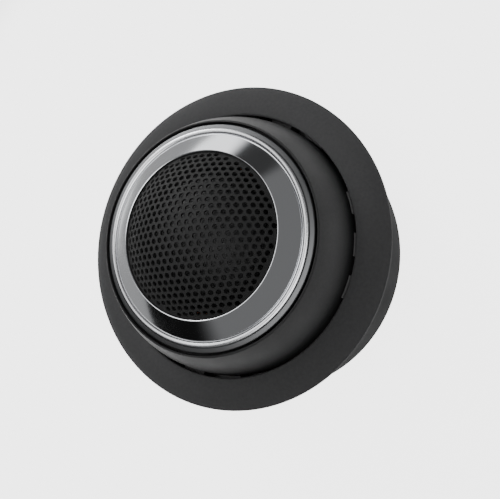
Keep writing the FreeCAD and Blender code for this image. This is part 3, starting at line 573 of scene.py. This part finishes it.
def soft_copy(name, node, voxel, grain, depth, passes):
    """A foam or felt piece in a CAD node's place: its edges rounded and its skin pitted, never proud.
    The pits are about grain apart and no deeper than depth."""
    thing = bpy.data.objects.new(name, frame["nodes"][node].data.copy())
    bpy.context.scene.collection.objects.link(thing)
    remesh = thing.modifiers.new("voxels", "REMESH")
    remesh.mode = "VOXEL"
    remesh.voxel_size = voxel
    relax = thing.modifiers.new("relax", "SMOOTH")
    relax.iterations = passes
    shrink = thing.modifiers.new("skin", "DISPLACE")
    shrink.strength = -depth
    shrink.mid_level = 0.0
    graph = bpy.context.evaluated_depsgraph_get()
    solid = bpy.data.meshes.new_from_object(thing.evaluated_get(graph))
    thing.modifiers.clear()
    thing.data = solid
    normals = [vertex.normal.copy() for vertex in solid.vertices]
    for vertex, normal in zip(solid.vertices, normals):
        vertex.co += normal * depth * PIT_SHARE * waves.noise(vertex.co / grain)
    smooth(thing)
    return thing


def build_pads():
    """The adhesive foam under the cup, the foam behind the motor and the felt under the dome."""
    tape = soft_copy("foam_tape", "adhesive_pad", voxel=0.25 * MM, grain=0.5 * MM, depth=0.03 * MM, passes=2)
    finish_piece(tape, "foam_tape", "adhesive_pad")
    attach(tape, "mount")
    foam = soft_copy("rear_foam", "rear_damping_pad", voxel=0.3 * MM, grain=0.9 * MM, depth=0.12 * MM,
                     passes=4)
    finish_piece(foam, "foam", "rear_damping_pad")
    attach(foam, "ball")
    felt = soft_copy("dome_felt", "damping_pad", voxel=0.2 * MM, grain=0.4 * MM, depth=0.06 * MM, passes=3)
    finish_piece(felt, "felt", "damping_pad")
    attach(felt, "ball")


def build_leads():
    """Two short tinsel leads with a little slack."""
    box_low, box_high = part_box("tinsel_leads")
    radius = (box_high.x - box_low.x) / 2
    height = (box_high.z + box_low.z) / 2
    length = box_high.y - LEAD_INNER
    for side, sign in (("upper", 1), ("lower", -1)):
        curve = bpy.data.curves.new(f"lead_{side}", "CURVE")
        curve.dimensions = "3D"
        curve.bevel_depth = radius
        curve.bevel_resolution = 3
        curve.resolution_u = 16
        curve.use_fill_caps = True
        spline = curve.splines.new("NURBS")
        spans = len(LEAD_DROPS) - 1
        spline.points.add(spans)
        for index, (point, drop) in enumerate(zip(spline.points, LEAD_DROPS)):
            away = LEAD_INNER + length * index / spans
            point.co = (0, sign * away, height - drop * LEAD_SAG, 1)
        spline.order_u = 3
        spline.use_endpoint_u = True
        route = bpy.data.objects.new(f"lead_{side}_route", curve)
        bpy.context.scene.collection.objects.link(route)
        graph = bpy.context.evaluated_depsgraph_get()
        braid = bpy.data.meshes.new_from_object(route.evaluated_get(graph))
        lead = bpy.data.objects.new(f"tinsel_lead_{side}", braid)
        bpy.context.scene.collection.objects.link(lead)
        bpy.data.objects.remove(route)
        smooth(lead)
        finish_piece(lead, "lead_braid", "tinsel_leads")
        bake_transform(lead)


# ---------------------------------------------------------------- studio

FLOOR_RADIUS = 6.0
FLOOR_SIDES = 192

LENS = 72.0           # focal length, and the sensor's width, in millimetres
SENSOR = 36.0
CAMERA_TILT = math.radians(7.71)    # leans down from the front, about X
CAMERA_TURN = math.radians(25.47)   # and swings round to +X
CAMERA_PLACE = Vector((2.68, -0.63, 174.7)) * MM   # from the flange's centre, along its own axes

STUDIO_LEVEL = 0.22
PATCH_CORE = 0.55     # share of a studio patch's half width that is fully lit or dark
STUDIO_PATCHES = [    # azimuth, elevation and half width in degrees, and factor on the light
    (122, 6, 30, 11.0),    # low window, which the top of the cone reflects
    (147, 42, 31, 13.0),   # window above it
    (290, 80, 23, 21.0),   # overhead light
    (216, 10, 44, 0.04),   # dark screen, which the cone's lower left reflects
    (86, 24, 20, 0.25),    # dimmer screen, which its upper right reflects
]


def build_floor():
    """A pale floor disc that the tweeter stands on."""
    ring = []
    for index in range(FLOOR_SIDES):
        angle = math.tau * index / FLOOR_SIDES
        ring.append((FLOOR_RADIUS * math.cos(angle), FLOOR_RADIUS * math.sin(angle), 0.0))
    floor = mesh_object("floor", ring, [tuple(range(FLOOR_SIDES))])
    floor.data.materials.append(pale_floor())


def build_camera():
    """A camera close above the front, turned so that the tweeter faces left."""
    turned = Matrix.Rotation(CAMERA_TILT, 3, "X") @ Matrix.Rotation(CAMERA_TURN, 3, "Y")
    place = Vector((0, 0, flange_height())) + turned @ CAMERA_PLACE
    camera = bpy.data.cameras.new("camera")
    camera.lens = LENS
    camera.sensor_width = SENSOR
    camera.clip_start = 0.01
    thing = bpy.data.objects.new("camera", camera)
    thing.matrix_world = Matrix.Translation(place) @ turned.to_4x4()
    bpy.context.scene.collection.objects.link(thing)
    bpy.context.scene.camera = thing


def build_world():
    """An even studio light, multiplied by each soft patch's factor inside that patch."""
    world = bpy.data.worlds.new("studio")
    world.use_nodes = True
    nodes = world.node_tree.nodes
    links = world.node_tree.links
    background = nodes["Background"]
    background.inputs["Color"].default_value = (1.0, 1.0, 1.0, 1.0)
    place = nodes.new("ShaderNodeTexCoord").outputs["Generated"]
    strength = None
    for azimuth, elevation, half_width, factor in STUDIO_PATCHES:
        towards = nodes.new("ShaderNodeVectorMath")
        towards.operation = "DOT_PRODUCT"
        towards.inputs[1].default_value = direction(azimuth, elevation)
        links.new(place, towards.inputs[0])
        shade = nodes.new("ShaderNodeMapRange")
        shade.interpolation_type = "SMOOTHSTEP"
        shade.inputs["From Min"].default_value = math.cos(math.radians(half_width))
        shade.inputs["From Max"].default_value = math.cos(math.radians(half_width * PATCH_CORE))
        shade.inputs["To Min"].default_value = 1.0
        shade.inputs["To Max"].default_value = factor
        links.new(towards.outputs["Value"], shade.inputs["Value"])
        product = nodes.new("ShaderNodeMath")
        product.operation = "MULTIPLY"
        product.inputs[0].default_value = STUDIO_LEVEL
        if strength is not None:
            links.new(strength, product.inputs[0])
        links.new(shade.outputs["Result"], product.inputs[1])
        strength = product.outputs["Value"]
    links.new(strength, background.inputs["Strength"])
    bpy.context.scene.world = world


dress_cad_nodes()
build_trim()
build_dome()
build_surround()
build_pads()
build_leads()
build_floor()
build_camera()
build_world()

bpy.context.view_layer.update()
